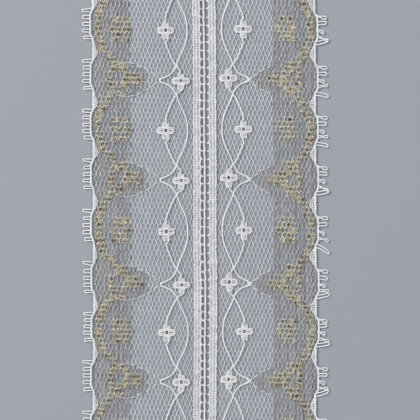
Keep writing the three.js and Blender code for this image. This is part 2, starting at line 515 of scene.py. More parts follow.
@dataclass(frozen=True)
class Finish:
    """A yarn: filaments twisted together, coloured and shining its own way.

    Real filaments are too fine to show at this size, so they are drawn coarser, as one
    to three plies a yarn. Lengths are in millimetres.
    """

    name: str  # the material's name
    light: str  # colour of the filaments' pale tone, and painted highlight where they catch the light
    dark: str  # colour of painted shade between the filaments, and of darker-toned lengths, partly painted shade on gold
    roughness: float  # least roughness
    twist: float  # length of yarn in one turn of its filaments
    plies: int  # strands seen round the yarn
    relief: float  # depth of the grooves between filaments
    patch: float  # length from light to dark patches: a tone that varies, and on gold partly painted flashes and shade
    sheen: float  # haze of fine fibre ends
    slot: str = "white_yarn"  # name of a material slot; not used
    dulling: float = 0.2  # how much rougher a dull patch is
    metallic: float = 0.0  # 0 for plain filament, and above for metallised film
    ior: float = 1.53  # index of refraction of the filament; metal keeps the default
    tone_and_glint_weight: float = 0.25  # how much each point's shade counts: a random tone, and on gold painted glints
    groove_shade: float = 0.07  # how much painted shade darkens the grooves between the filaments
    start: float = 0.35  # shade at which the dark colour starts to turn light

    def material(self) -> bpy.types.Material:
        """The yarn's material, made once: a helix of filaments, and patches along it.

        The helix is the cosine of the yarn's length over its twist plus the turns
        round it, times the plies. It is bump, and painted shade that darkens the grooves.

        Returns:
            The material.
        """
        if self.name in bpy.data.materials:
            return bpy.data.materials[self.name]
        made = bpy.data.materials.new(self.name)
        made.use_nodes = True
        made.node_tree.nodes.clear()
        nodes = Nodes(made.node_tree)
        uv = nodes.add("UVMap", {"uv_map": "yarn"})
        along, turns, _ = nodes.add("SeparateXYZ", {}, {0: uv}).node.outputs
        angle = nodes.scaled(nodes.scaled(along, 1 / self.twist, turns), 2 * math.pi * self.plies)
        helix = nodes.add("Math", {"operation": "COSINE"}, {0: angle})
        spot = nodes.add("TexCoord", {}, output="Object")
        noise = {"Scale": 1 / (self.patch * MM), "Detail": 3.0, "Roughness": 0.65}
        patches = nodes.add("TexNoise", noise, {"Vector": spot})
        lot = nodes.add("Attribute", {"attribute_name": "lot"}, output="Fac")
        # Painted shade darkens the grooves by the helix; the patches and each point's shade add a
        # varying tone, and on gold painted glints and flashes.
        shade = nodes.scaled(helix, self.groove_shade, nodes.scaled(lot, self.tone_and_glint_weight, patches))
        span = {"From Min": self.start, "From Max": self.start + SHADE_SPAN}
        blend = nodes.add("MapRange", span, {"Value": shade})
        ends = {"data_type": "RGBA", 6: linear(self.dark), 7: linear(self.light)}
        colour = nodes.add("Mix", ends, {0: blend}, output=2)
        span = {"From Min": PATCH_SPAN[0], "From Max": PATCH_SPAN[1]}
        span |= {"To Min": self.roughness + self.dulling, "To Max": self.roughness}
        rough = nodes.add("MapRange", span, {"Value": patches})
        depth = {"Strength": BUMP, "Distance": self.relief * MM}
        bump = nodes.add("Bump", depth, {"Height": helix})
        looks = {"Metallic": self.metallic, "Sheen Weight": self.sheen, "Sheen Roughness": 0.4}
        if not self.metallic:
            looks["IOR"] = self.ior
        links = {"Base Color": colour, "Roughness": rough, "Normal": bump}
        shader = nodes.add("BsdfPrincipled", looks, links)
        nodes.add("OutputMaterial", {}, {0: shader})
        return made


# Bright filament nylon, drawn smooth: thin white threads with a soft, broken shine.
NET_YARN = Finish(
    name="nylon_net_yarn", light="#F6F7F9", dark="#D3D7DE", roughness=0.38,
    twist=0.8, plies=2, relief=0.012, patch=3.0, sheen=0.1,
)
# The same filament knitted close: brighter, because no ground shows between the yarns.
BAND_YARN = Finish(
    name="closed_knit_nylon", light="#FAFAFB", dark="#D9DCE2", roughness=0.42,
    twist=0.8, plies=3, relief=0.014, patch=1.3, sheen=0.15,
)
# Thick folded yarn laid in as outline: whitest and smoothest of the three.
GIMP_YARN = Finish(
    name="polyester_gimp", light="#FCFCFC", dark="#E2E4E9", roughness=0.4,
    twist=1.0, plies=3, relief=0.018, patch=2.2, sheen=0.15, ior=1.6,
)
# Narrow metallised film wound on a core: antique gold that flashes and goes dark, partly as painted
# highlight and painted shade in its colour.
GOLD_YARN = Finish(
    name="antique_gold_tinsel", light="#FAF0D2", dark="#463A2B", roughness=0.26,
    twist=0.7, plies=1, relief=0.05, patch=0.8, sheen=0.0, slot="gold_yarn",
    dulling=0.25, metallic=0.7, tone_and_glint_weight=0.7, groove_shade=0.15, start=0.5,
)


@dataclass
class Trim:
    """What is knitted into one half of the lace."""

    half: Half  # the half that it belongs to


@dataclass
class Lattice(Trim):
    """The nodes of the net: walls where neighbouring strands run together.

    A wall stands at every column and row whose numbers add up to an even number, and
    a hole at the others. Columns are half a wale apart. Each node strays a little, and
    near the edge it is drawn in to the edge cord.
    """

    columns: int = 51  # number of columns
    rows: int = 89  # number of rows
    wall: float = 1.24  # height of a wall; what is left of a row is the step to the next wall
    corner: float = 0.12  # how far a wall's ends are drawn towards the next walls, as a share
    stray: float = 0.07  # standard deviation of a node's straying
    lean: float = 0.09  # standard deviation of a wall's leaning
    inset: float = 0.25  # how far inside the edge the last strands stop
    tuck: float = 0.1  # how far the first column lies under the band
    drift: float = 0.12  # how far slow waves carry the nodes out
    crowd: float = 0.04  # how much closer to the edge each further column may come
    draw: float = 3.0  # farthest that a node is drawn in
    dip: float = 0.04  # how far a strand dips between walls
    out: Grid = field(init=False)  # for each node, its distance out
    up: Grid = field(init=False)  # its height
    tilt: Grid = field(init=False)  # the lean of its wall

    def __post_init__(self) -> None:
        """Works out every node's distance out, height and lean."""
        rng = self.half.draws(0)
        column = np.arange(self.columns)[:, None]
        row = np.arange(self.rows)[None, :]
        shape = (self.columns, self.rows)
        out = BAND_OUTER - self.tuck + column * WALE / 2 + rng.normal(0, self.stray, shape)
        up = (row - self.half.net_row) * ROW + rng.normal(0, self.stray, shape)
        slow = np.sin(up / 11.0 + self.half.seed) * np.sin(out / 5.3)
        out = out + self.drift * slow
        up = up + ROW_SLOPE * self.half.side * (out - self.half.rosette_out)
        last = self.half.edge(up) - self.inset - self.crowd * (self.columns - column)
        self.out = np.minimum(out, np.maximum(last, out - self.draw))
        self.up = up
        self.tilt = rng.normal(0, self.lean, shape)

    def strand(self, first: int, step: int = 1) -> Passed:
        """The nodes that zigzag strands pass.

        Strand k passes column k in the rows where k and the row add up to an even
        number, and column k + 1 in the others.

        Args:
            first: number of the first strand.
            step: number of strands from one to the next.

        Returns:
            Strands by rows: distances out, heights, leans, and 1 where the strand is
            on its own column or -1 where it is on the next.
        """
        number = np.arange(first, self.columns - 1, step)[:, None]
        row = np.arange(self.rows)[None, :]
        over = (number + row) % 2
        at = (number + over, row)
        return self.out[at], self.up[at], self.tilt[at], 1.0 - 2 * over

    def column(self, first: int) -> Passed:
        """The nodes of whole columns, and the middle of each hole between its walls.

        Args:
            first: number of the first column.

        Returns:
            Columns by rows: distances out, heights, leans, and 1 at a wall or -1 in a
            hole.
        """
        number = np.arange(first, self.columns - 1)[:, None]
        row = np.arange(self.rows)[None, :]
        hole = (number + row) % 2
        between = (self.out[number - 1, row] + self.out[number + 1, row]) / 2
        out = np.where(hole == 1, between, self.out[number, row])
        return out, self.up[number, row], self.tilt[number, row], 1.0 - 2 * hole

    def thread(self, out: Grid, up: Grid, tilt: Grid, high: Grid) -> tuple[Grid, Mask]:
        """Carries threads upwards through the nodes that they pass.

        A thread passes a node in four points, spread over the wall's height and
        leaning with it, the first drawn towards the node below and the last towards
        the node above. Half way to the next node comes a fifth, a little lower.

        Args:
            out: threads by rows, distances out.
            up: heights along the lace.
            tilt: leans of the walls.
            high: heights above the floor.

        Returns:
            Threads by points by X, Y, Z, and which points are on the cut length.
        """
        share = np.array([-0.5, -0.22, 0.22, 0.5])
        below, above = np.roll(out, 1, 1), np.roll(out, -1, 1)
        pull = np.stack([below, out, out, above], -1) - out[..., None]
        x = out[..., None] + self.corner * pull + tilt[..., None] * share
        walls = xyz(x, up[..., None] + self.wall * share, high[..., None])
        steps = (walls[:, :, 3] + np.roll(walls[:, :, 0], -1, 1)) / 2
        steps[..., 2] -= self.dip
        every = np.concatenate([walls, steps[:, :, None]], axis=2)
        path = every.reshape(len(out), -1, 3)[:, :-1] * (self.half.side, 1, 1)
        return path, np.abs(path[..., 1]) < END


@dataclass
class Inlay:
    """What runs through the nodes of one half's net."""

    lattice: Lattice  # the nodes

    @property
    def half(self) -> Half:
        """The half of the lace that it belongs to."""
        return self.lattice.half


@dataclass
class Net(Inlay):
    """The tulle ground of one half: zigzag strands that meet in walls."""

    thick: float = 0.22  # thickness of a strand
    # How much thicker it is at a wall's lower end, twice in its middle, at its upper end
    # and between walls.
    swell: tuple[float, ...] = (1.35, 0.86, 0.86, 1.15, 1.0)
    beside: float = 0.40  # how far it lies beside a wall's middle, as a share of its thickness
    over: float = 0.03  # how far it lies over or under its neighbour

    def build(self) -> bpy.types.Object:
        """Sweeps the strands, side by side in the walls and knotted at their ends.

        Returns:
            The net.
        """
        out, up, tilt, side = self.lattice.strand(0)
        beside = out + side * self.thick * self.beside
        paths, keep = self.lattice.thread(beside, up, tilt, NET_HIGH + self.over * side)
        wide = self.thick * np.resize(self.swell, paths.shape[1])
        lot = self.half.draws(1).random((len(paths), 1))
        strands = sweep(paths, wide, wide * SQUASH, 4, keep, lot)
        return piece(f"net_{self.half.name}", [strands], NET_YARN)


def chain(path: Grid, half_width: float, pitch: float, rise: float) -> Grid:
    """Two strands that cross over each other along a line, like a pillar of stitches.

    Each strand lies off the line by the sine of its length over the pitch, the two on
    opposite sides, and goes over and under the other by the cosine.

    Args:
        path: a line, or several.
        half_width: farthest that a strand lies off the line.
        pitch: length from one crossing to the next.
        rise: half the height between the strands where they cross.

    Returns:
        Two strands a line.
    """
    lines = path.reshape(-1, *path.shape[-2:])
    phase = np.pi * lines[..., 1] / pitch
    offset = xyz(half_width * np.sin(phase), 0.0, rise * np.cos(phase))
    return np.concatenate([lines + offset, lines - offset])


def laps(count: int, steps: int, level: float) -> tuple[Grid, Grid]:
    """A weft yarn's way to and fro: where it is across, and how many laps it has risen.

    Across it is minus the cosine of pi times the laps laid, from -1 to 1. It rises by
    the laps laid plus a sine of them, times how level the laps are.

    Args:
        count: number of laps.
        steps: points in a lap.
        level: 0 for laps of an even slope, to 1 for laps that climb at their turns.

    Returns:
        Places across and heights in laps.
    """
    laid = np.arange(count * steps + 1) / steps
    risen = laid + level * np.sin(2 * np.pi * laid) / (2 * np.pi)
    return -np.cos(np.pi * laid), risen


@dataclass
class Band(Trim):
    """One closed band: weft laps across it, held by three pillars of stitches.

    Between the pillars the laps leave two rows of pin holes, one to a course.
    """

    lap_wide: float = 0.38  # width of a lap's yarn as it lies
    lap_high: float = 0.3  # height of that yarn
    over: float = 0.10  # how far one weft yarn lies over their middle, and the other under it
    bulge: float = 0.34  # how far the inner edge juts out at a rung
    # Middles of the pillars, from the middle of the lace.
    pillars_at: tuple[float, ...] = (1.66, 2.69, 3.72)
    pillars_wide: tuple[float, ...] = (0.13, 0.24, 0.13)  # half the spread of each pillar's strands
    # Courses from one crossing of its strands to the next.
    pillars_turn: tuple[float, ...] = (2.5, 1.0, 2.5)
    pillar: float = 0.36  # width of a pillar's strands
    pillar_high: float = 0.22  # their height
    pillar_rise: float = 0.07  # half the height between them where they cross
    turns_in: Pair = (0.27, 0.28)  # how far inside its inner and outer edges the laps turn
    ragged: Pair = (0.03, 0.07)  # how unevenly they turn there

    def inner(self, y: Grid) -> Grid:
        """The inner edge, which juts out at each rung by a bell curve of its own size.

        Args:
            y: heights.

        Returns:
            Distances out.
        """
        rng = self.half.draws(7)
        number = np.round(y / RUNG_PITCH)
        own = rng.uniform(0.4, 1.5, 60)[(number + 30).astype(int)]
        off = y / RUNG_PITCH - number
        return BAND_INNER - self.bulge * own * np.exp(-((off / 0.14) ** 2))

    def weft(self) -> list[Yarns]:
        """Two weft yarns that cross the band once a course, from opposite sides.

        Returns:
            The two swept yarns.
        """
        rng = self.half.draws(8)
        steps = 8
        across, risen = laps(COURSES_LONG, steps, 0.9)
        made = []
        for way in (1, -1):
            y = -END + COURSE * risen
            loose = np.interp(risen, np.arange(COURSES_LONG + 1), rng.normal(0, 1, COURSES_LONG + 1))
            inner = self.inner(y) + self.turns_in[0] + self.ragged[0] * loose
            outer = BAND_OUTER - self.turns_in[1] + self.ragged[1] * loose
            x = inner + (outer - inner) * (1 + way * across) / 2
            z = WEFT_HIGH - self.over * way + 0.04 * np.sin(5 * risen)
            path = self.half.place(x, y + 0.05 * loose * way, z)[None]
            wide = self.lap_wide * (1 + 0.3 * np.tanh(loose))
            made.append(sweep(path, wide, self.lap_high, 5, lot=0.5 + 0.2 * loose))
        return made

    def pillars(self) -> list[Yarns]:
        """The pillars of chain stitches that hold the laps down.

        Returns:
            The swept pillars.
        """
        rng = self.half.draws(9)
        y = np.linspace(-END, END, COURSES_LONG * 5 + 1)
        made = []
        table = zip(self.pillars_at, self.pillars_wide, self.pillars_turn)
        for out, spread, turn in table:
            loose = np.interp(y, np.linspace(-END, END, COURSES_LONG), rng.normal(0, 1, COURSES_LONG))
            follow = (self.inner(y) - BAND_INNER) * (out < 2.0) * 0.8
            middle = out + follow + 0.09 * loose
            line = self.half.place(middle, y, PILLAR_HIGH + 0.03 * loose)
            strands = chain(line, spread, turn * COURSE, self.pillar_rise)
            wide = self.pillar * (1 + 0.2 * np.tanh(loose))
            made.append(sweep(strands, wide, self.pillar_high, 4, lot=0.75 + 0.2 * loose))
        return made

    def build(self) -> bpy.types.Object:
        """Joins laps and pillars into the band."""
        return piece(f"band_{self.half.name}", self.weft() + self.pillars(), BAND_YARN)


@dataclass
class Ladder:
    """The open ladder between the bands: a centre cord and the rungs that hold it."""

    strand: float = 0.44  # thickness of the cord's two strands
    apart: float = 0.12  # half the spread of the two
    rise: float = 0.07  # half the height between them where they cross
    kink: float = 0.06  # how far the cord swings at a rung
    loop: float = 0.30  # thickness of the rungs' looped yarn
    tie: float = 0.13  # thickness of the yarn that ties a loop to the cord
    spread: float = 0.30  # half the height of a loop at its band
    # How near to the cord a loop comes, as a share of the gap, left and right.
    nearing: Pair = (0.75, 0.4)

    def cord(self, y: Grid) -> Grid:
        """The cord's middle across the lace: a sine of the rungs plus slower ones."""
        swing = self.kink * np.sin(2 * np.pi * y / RUNG_PITCH)
        return CORD_OUT + swing + 0.05 * np.sin(y * 1.9) + 0.06 * np.sin(y / 5.7)

    def rungs(self, half: Half) -> list[Yarns]:
        """Rungs of one side: looped yarns that jut from the band, each tied to the cord.

        A loop's height off its middle is its spread times a power of its share of the
        way back to the band. A filling yarn runs down its middle.

        Args:
            half: the side of the cord that they are on.

        Returns:
            The swept loops, fillings and ties.
        """
        nearing = half.pick(self.nearing)
        count = 2 * int(END / RUNG_PITCH) + 1
        base = ((np.arange(count) - (count - 1) / 2) * RUNG_PITCH)[:, None]
        rng = half.draws(5)
        base = base + 0.12 * rng.normal(0, 1, (count, 1))
        t = np.linspace(-1, 1, 11)
        band = BAND_INNER + 0.3
        cord = self.cord(base) * half.side + 0.1
        near = nearing * (1 + 0.15 * rng.normal(0, 1, (count, 1)))
        tip = BAND_INNER + np.clip(near, 0, 1) * (cord - BAND_INNER)
        spread = self.spread * (1 + 0.25 * rng.normal(0, 1, (count, 1)))
        back = np.abs(t)
        y = base + spread * np.sign(t) * back**0.5
        level = base + 0.08 * rng.normal(0, 1, (count, 1))
        loops = half.place(tip + (band - tip) * back, y, LOOP_HIGH)
        filling = half.place(tip + (band - tip) * back[5:], level, FILLING_HIGH)
        ties = half.place(cord + (band - cord) * back[5:], level, TIE_HIGH)
        return [
            sweep(loops, self.loop, self.loop * SQUASH, 5),
            sweep(filling, self.loop, self.loop * 0.8, 5),
            sweep(ties, self.tie, self.tie, 4, lot=0.6),
        ]

    def build(self) -> bpy.types.Object:
        """Sweeps the centre cord and the rungs on both sides of it.

        Returns:
            The ladder.
        """
        y = np.linspace(-END, END, 51 * 14 + 1)
        line = xyz(self.cord(y), y, LADDER_CORD_HIGH)
        strands = chain(line, self.apart, RUNG_PITCH / 3, self.rise)
        parts = [sweep(strands, self.strand, self.strand * 0.9, 6, lot=0.9)]
        for half in HALVES:
            parts += self.rungs(half)
        return piece("ladder", parts, BAND_YARN)


@dataclass
class Vines(Trim):
    """The gimp lines of one half: two vines that cross, and the fans' dashed lines."""

    thick: float = 0.5  # thickness of the gimp
    above: float = 0.18  # how far the link vine lies above the loop vine
    tail: float = 0.85  # how far an apex's tails reach up and down
    dash: float = 0.3  # thickness of the dashed lines' yarn
    dash_pitch: float = 2.5  # from one dash to the next
    dash_rise: float = 0.22  # how far a dash comes up out of the net
    per_course: int = 2  # points a course
    step: float = 0.15  # height of the link vine's small steps
    # How far, on the left and on the right, the link vine hitches over towards the middle
    # of the lace just above a cross, and just below it.
    hitches: tuple[Pair, Pair] = ((-0.1, 1.35), (1.1, 1.1))
    hang: float = 0.2  # how far below a cross's middle that changes over
    hold: float = 3.1  # half the length of a hitch
    bare: float = 2.3  # half the length round a cross that the link vine leaves out
    dashes_from: float = 16.4  # middle of the lace to where the dashed lines begin

    def line(self, wales: tuple[float, ...], step: float, hitches: Pair) -> Grid:
        """A vine's path: its table, plus small steps where it hops a wale.

        At a cross it hitches over towards the middle of the lace, by a flat-topped bell
        curve, and back.

        Args:
            wales: its wales out, by courses.
            step: height of the small steps.
            hitches: how far it hitches over just above a cross, and just below.

        Returns:
            The path of one yarn.
        """
        courses = np.linspace(-1, 1, COURSES_LONG * self.per_course + 1) * COURSES_LONG / 2
        out = self.half.vine(courses, wales)
        gaps = courses[:, None] * COURSE + self.hang - self.half.crosses()
        off = np.take_along_axis(gaps, np.abs(gaps).argmin(axis=1)[:, None], 1)[:, 0]
        hitch = np.where(off > 0, *hitches)
        held = hitch * np.exp(-((off / self.hold) ** 8))
        hop = step * np.sin(2 * np.pi * courses / 3.0) - held
        return self.half.place(out + hop, courses * COURSE, VINE_HIGH)[None]

    def apexes(self) -> Yarns:
        """The loop vine's apexes: crossed tails on the right, a knot on the left.

        A tail is a straight line through the apex, rising or falling as the vine does.
        A knot is a short yarn along the lace, fat in the middle.

        Returns:
            The swept tails or knots.
        """
        heights = self.half.heights(self.half.motif + SCALLOP, REPEAT, 1.0)[:, None]
        apex = float(self.half.vine(heights[:1] / COURSE, LOOP_WALES)[0, 0])
        t = np.linspace(-1, 1, 7)
        if self.half.which is Side.LEFT:
            path = self.half.place(apex + 0.12, heights + 0.42 * t, APEX_HIGH)
            return sweep(path, 0.3 + 0.5 * np.sqrt(1 - t**2), 0.4, 6)
        y = np.concatenate([self.tail * t + heights, -self.tail * t + heights])
        path = self.half.place(apex + 0.1 + t, y, 0.8 - 0.15 * t)
        return sweep(path, self.thick * 0.75, self.thick * 0.6, 6)

    def teardrops(self) -> Yarns:
        """The dashed lines that open round each fan: long dashes first, then short.

        The line's height is read from its table. It comes up out of the net for each
        dash by a half sine, and only the dashes show.

        Returns:
            The swept dashes.
        """
        fans = self.half.heights(self.half.motif + SCALLOP, REPEAT, 7.0)
        border = self.half.gold_from
        out = np.linspace(self.dashes_from, self.half.dashed_to, 62)
        rise = np.interp(out, TEARDROP_OUT, TEARDROP_HIGH)
        way = np.concatenate([np.ones(len(fans)), -np.ones(len(fans))])[:, None]
        rng = self.half.draws(10)
        place = (out - out[0] + 0.5 * rng.random((2 * len(fans), 1))) / self.dash_pitch
        part = place - np.floor(place)
        share = np.interp(out, (out[0], border - 1, border), (0.85, 0.7, 1.0))
        arch = np.sin(np.pi * np.clip(part / share, 0, 1))
        y = np.concatenate([fans, fans])[:, None] + way * (rise + 0.06 * np.sin(4 * out))
        path = self.half.place(out, y, DASH_HIGH + self.dash_rise * arch)
        wide = self.dash * np.interp(out, (border - 0.5, border + 0.5), (1.0, 0.6))
        return sweep(path, wide, 0.24, 5, part < share, 0.4)

    def build(self) -> bpy.types.Object:
        """Sweeps the smooth loop vine, the stepped link vine and the dashed lines.

        Returns:
            The vines.
        """
        loop = self.line(LOOP_WALES, 0.0, (0.0, 0.0))
        link = self.line(LINK_WALES, self.step, self.half.pick(self.hitches))
        gap = np.abs(link[0, :, 1, None] + self.hang - self.half.crosses()).min(axis=1)
        link[..., 2] += self.above
        flat = self.thick * 0.8
        parts = [
            sweep(loop, self.thick, flat, 6),
            sweep(link, self.thick, flat, 6, (gap > self.bare)[None]),
            self.apexes(),
            self.teardrops(),
        ]
        return piece(f"vines_{self.half.name}", parts, GIMP_YARN)


@dataclass
class Crosses(Trim):
    """The small crosses on the link vine, each laid to and fro in gimp."""

    # How far each lap reaches from the middle, from the lowest lap up.
    reaches: tuple[float, ...] = (0.8, 1.0, 1.05, 1.1, 2.6, 2.95, 2.9, 2.65, 1.1, 1.05, 0.9)
    below: int = 6  # laps below the middle
    pitch: float = 0.51  # height of one lap
    hole: float = 0.62  # how far the middle laps part at the opening
    hole_size: Pair = (0.78, 0.9)  # half its width, and how far from it the parting is felt
    yarn: float = 0.33  # thickness of the gimp
    post: float = 0.69  # how far the stitches beside the opening stand from its middle
    # How steeply the outer laps rise above the middle, away from the lace's own middle, and
    # sink below it.
    slant: float = 0.3
    tall: float = 2.9  # half a cross's height, which has to fit on the cut length

    def middles(self) -> tuple[Grid, Grid]:
        """Where the middles of the crosses are.

        Returns:
            X and Y, each as a column.
        """
        heights = self.half.crosses(self.tall)
        out = self.half.vine(heights / COURSE, LINK_WALES)
        return self.half.side * out[:, None], heights[:, None]

    def serpentine(self, way: int) -> Grid:
        """One serpentine a cross: short laps, four long ones in its arms, short laps.

        Laps bend round the opening in the middle: those above it rise and those below
        it sink, most where they pass it. The farther they are from it, the more they
        slant.

        Args:
            way: 1 or -1, the side that the first lap starts from.

        Returns:
            The path of one yarn a cross.
        """
        middle_x, middle_y = self.middles()
        rng = self.half.draws(2)
        count, steps = len(self.reaches), 12
        across, risen = laps(count, steps, 0.85)
        lap = np.minimum(np.arange(across.size) // steps, count - 1)
        x = way * np.array(self.reaches)[lap] * np.sign(across) * np.abs(across) ** 0.7
        y = (risen - self.below) * self.pitch
        wide, tall = self.hole_size
        part = self.hole * np.exp(-((x / wide) ** 4) - (y / tall) ** 2) * np.sign(y)
        steep = self.slant * np.sign(y) * np.clip(np.abs(y) - 1.2, 0, 1)
        y = y + part + 0.04 * np.sign(y) + 0.02 * way + steep * x * self.half.side
        each = middle_x.shape
        ragged = rng.normal(0, 1, (len(middle_x), x.size)).cumsum(1) / 160
        xs = middle_x + x * (1 + 0.04 * rng.normal(0, 1, each)) + ragged
        ys = middle_y + y * (1 + 0.02 * rng.normal(0, 1, each))
        return xyz(xs, ys, CROSS_HIGH + 0.08 * way + 0.04 * np.cos(np.pi * x))

    def posts(self) -> Yarns:
        """The stitches on both sides of each opening, arched over the middle laps.

        Returns:
            The swept stitches.
        """
        middle_x, middle_y = self.middles()
        t = np.linspace(-1, 1, 7)
        aside = self.post + 0.04 * t
        y = middle_y + self.hole_size[0] * t
        paths = [xyz(middle_x + way * aside, y, POST_HIGH - 0.22 * t**2) for way in (-1, 1)]
        return sweep(np.concatenate(paths), self.yarn * 1.1, self.yarn * 0.7, 6)

    def build(self) -> bpy.types.Object:
        """Sweeps each cross's two serpentines, one over the other, and its posts.

        Returns:
            The crosses.
        """
        parts = [
            sweep(self.serpentine(way), self.yarn, self.yarn * SQUASH, 6)
            for way in (-1, 1)
        ]
        return piece(f"crosses_{self.half.name}", parts + [self.posts()], GIMP_YARN)


@dataclass
class Edge(Trim):
    """The scalloped edge: a cord of two strands, thickened in each valley."""

    strand: float = 0.46  # thickness of the cord's strands
    cord_in: float = 0.33  # how far inside the edge the cord's middle lies
    wedge_in: float = 0.35  # how far inside the edge the wedges begin
    depths: Pair = (1.35, 1.7)  # how far a valley's wedge reaches in, left and right
    fullest: Pair = (-1.4, -0.2)  # where it is fullest, above the valley's middle, left and right
    tall: float = 3.9  # half a wedge's height
    yarn: float = 0.36  # thickness of the wedge's yarn

    def reach(self, y: Grid) -> Grid:
        """How far a wedge reaches in.

        From its fullest height it tapers to its two ends as one plus the cosine of pi
        times the share of the way there.

        Args:
            y: heights above the valley's middle.

        Returns:
            Distances inwards.
        """
        full = self.half.pick(self.fullest)
        share = (y - full) / np.where(y > full, self.tall - full, self.tall + full)
        return self.half.pick(self.depths) * (1 + np.cos(np.pi * np.clip(share, -1, 1))) / 2

    def cord(self) -> Yarns:
        """The two crossing strands of the cord, a little uneven.

        Returns:
            The swept strands.
        """
        y = np.linspace(-END, END, COURSES_LONG * 3 + 1)
        out = self.half.edge(y) - self.cord_in + 0.05 * np.sin(y * 2.3) + 0.04 * np.sin(y * 5.1)
        line = self.half.place(out, y, EDGE_HIGH)
        strands = chain(line, 0.15, 1.5 * COURSE, 0.1)
        return sweep(strands, self.strand, self.strand * SQUASH, 6, lot=0.85)

    def wedges(self, way: int) -> Yarns:
        """One serpentine of each valley's wedge, from the cord inwards.

        Args:
            way: 1 or -1, which end of its laps the serpentine starts from.

        Returns:
            The swept laps.
        """
        valleys = self.half.heights(self.half.valley)
        rng = self.half.draws(3)
        count, steps = 9, 9
        across, risen = laps(count, steps, 0.8)
        y = (risen / count * 2 - 1) * (self.tall - self.yarn / 2) + 0.03 * way
        reach = self.reach(y)
        each = 1 + 0.1 * rng.normal(0, 1, (len(valleys), 1))
        ragged = 0.10 * rng.normal(0, 1, (len(valleys), y.size))
        ys = valleys[:, None] + y + 0.05 * rng.normal(0, 1, (len(valleys), y.size))
        inward = (1 + way * across) / 2 * reach * each + ragged
        xs = self.half.edge(ys) - self.wedge_in - inward
        z = EDGE_HIGH + 0.1 * way + 0.04 * rng.normal(0, 1, ys.shape)
        path = self.half.place(xs, ys, z)
        keep = np.abs(ys) < END
        lot = 0.4 + 0.6 * rng.random((len(valleys), 1))
        return sweep(path, self.yarn, self.yarn * 0.7, 5, keep, lot)

    def rims(self, share: float) -> Yarns:
        """The stitches that run down each wedge, over its laps.

        Args:
            share: where they run, as a share of the wedge's reach.

        Returns:
            The swept strands, two for each wedge.
        """
        valleys = self.half.heights(self.half.valley)
        y = np.linspace(-1, 1, 45) * (self.tall + 0.1)
        ys = valleys[:, None] + y
        xs = self.half.edge(ys) - self.wedge_in - share * self.reach(y)
        line = self.half.place(xs, ys, RIM_HIGH)
        path = chain(line, 0.13, COURSE, 0.08)
        keep = np.abs(path[..., 1]) < END
        return sweep(path, self.yarn * 0.55, self.yarn * 0.45, 4, keep, 0.8)

    def build(self) -> bpy.types.Object:
        """Joins cord and wedges into the edge."""
        parts = [self.cord(), self.wedges(1), self.wedges(-1), self.rims(0.55)]
        return piece(f"edge_{self.half.name}", parts, GIMP_YARN)


@dataclass
class Picots(Trim):
    """The picots of one edge: hairpin loops, neat on the left and unruly on the right."""

    wide: float = 1.12  # width across the two legs' middles
    thick: float = 0.43  # thickness of the yarn
    soft: float = 0.3  # how much of a leg's way a pinch covers
    foot_in: float = 0.4  # how far inside the edge the legs begin
    blunt: float = 0.55  # power of the sine that the reach follows
    square: int = 7  # power of the sine that the legs' spacing follows

    def build(self) -> bpy.types.Object:
        """Sweeps the loops: out along one leg, round the tip and back along the other.

        The reach is a power of a sine. The legs lie apart by the root of one less a
        high power of that sine, less their pinch by a bell curve about its place.

        Returns:
            The picots.
        """
        half = self.half
        rng = half.draws(4)
        feet = [half.heights(half.crest + row.step * 4, room=0.8) for row in half.picots]
        rows = [np.tile(row, (len(f), 1)) for row, f in zip(half.picots, feet)]
        _, lean, short, pinch, at, unrest = np.concatenate(rows).T[..., None]
        foot = np.concatenate(feet)[:, None]
        each = foot.shape
        lean = lean + unrest * rng.normal(0, 1, each)
        short = short + 0.12 * (1 + unrest) * np.abs(rng.normal(0, 1, each))
        pinch = np.clip(pinch + 0.12 * rng.normal(0, 1, each), 0, 1.1)
        t = np.linspace(0, np.pi, 25)
        reach = np.sin(t) ** self.blunt
        apart = np.sign(np.cos(t)) * (1 - np.abs(np.sin(t)) ** self.square) ** 0.5
        edge = half.edge(foot) - self.foot_in
        along = (half.reach - self.thick / 2 - short - edge) * reach
        open_by = 1 - pinch * np.exp(-(((reach - at) / self.soft) ** 2))
        y = foot + self.wide / 2 * apart * open_by + lean * (along / 3.2) ** 1.4
        z = PICOT_HIGH + 0.1 * pinch * apart + 0.05 * rng.normal(0, 1, each) * reach
        path = half.place(edge + along, y, z)
        yarns = sweep(path, self.thick, self.thick * SQUASH, 6)
        return piece(f"picots_{half.name}", [yarns], GIMP_YARN)


class Oval(NamedTuple):
    """An ellipse of a motif: its middle out and up, and half its width and height."""

    out: float
    up: float
    wide: float
    tall: float


# The whole rosette and its petals stand about its middle, the eye in its fan.
ROSETTE = Oval(0.0, 0.0, 3.9, 4.6)
PETALS = (
    Oval(2.3, 0.0, 1.35, 1.05),
    Oval(-2.6, 0.0, 1.35, 1.05),
    Oval(1.75, 2 * ROW, 1.05, 0.9),
    Oval(-1.85, 2 * ROW, 1.05, 0.9),
    Oval(1.75, -2 * ROW, 1.05, 0.9),
    Oval(-1.85, -2 * ROW, 1.05, 0.9),
    Oval(0.4, ROW, 0.6, 0.85),
    Oval(0.4, -ROW, 0.6, 0.85),
)
EYE = Oval(24.8, 0.0, 3.3, 2.7)

# The arc round a fan's outer side: its centre, radius, half width, and where it begins.
ARC_OUT = 27.2
ARC_RADIUS = 5.2
ARC_HALF = 1.0
ARC_FROM = 27.8

# The band that follows the scallops: where it is at a crest, how far in it has bowed at
# a height from there, the power of that bow, half its width, and how that widens.
BOW_OUT = 36.4
BOW_IN = 2.7
BOW_AT = 8.8
BOW_POWER = 2.2
BOW_HALF = 0.9
BOW_WIDENS = 0.07


class Way(Enum):
    """Which strands a set of gold threads lies on, counted from the first."""

    EVEN = 0
    ODD = 1


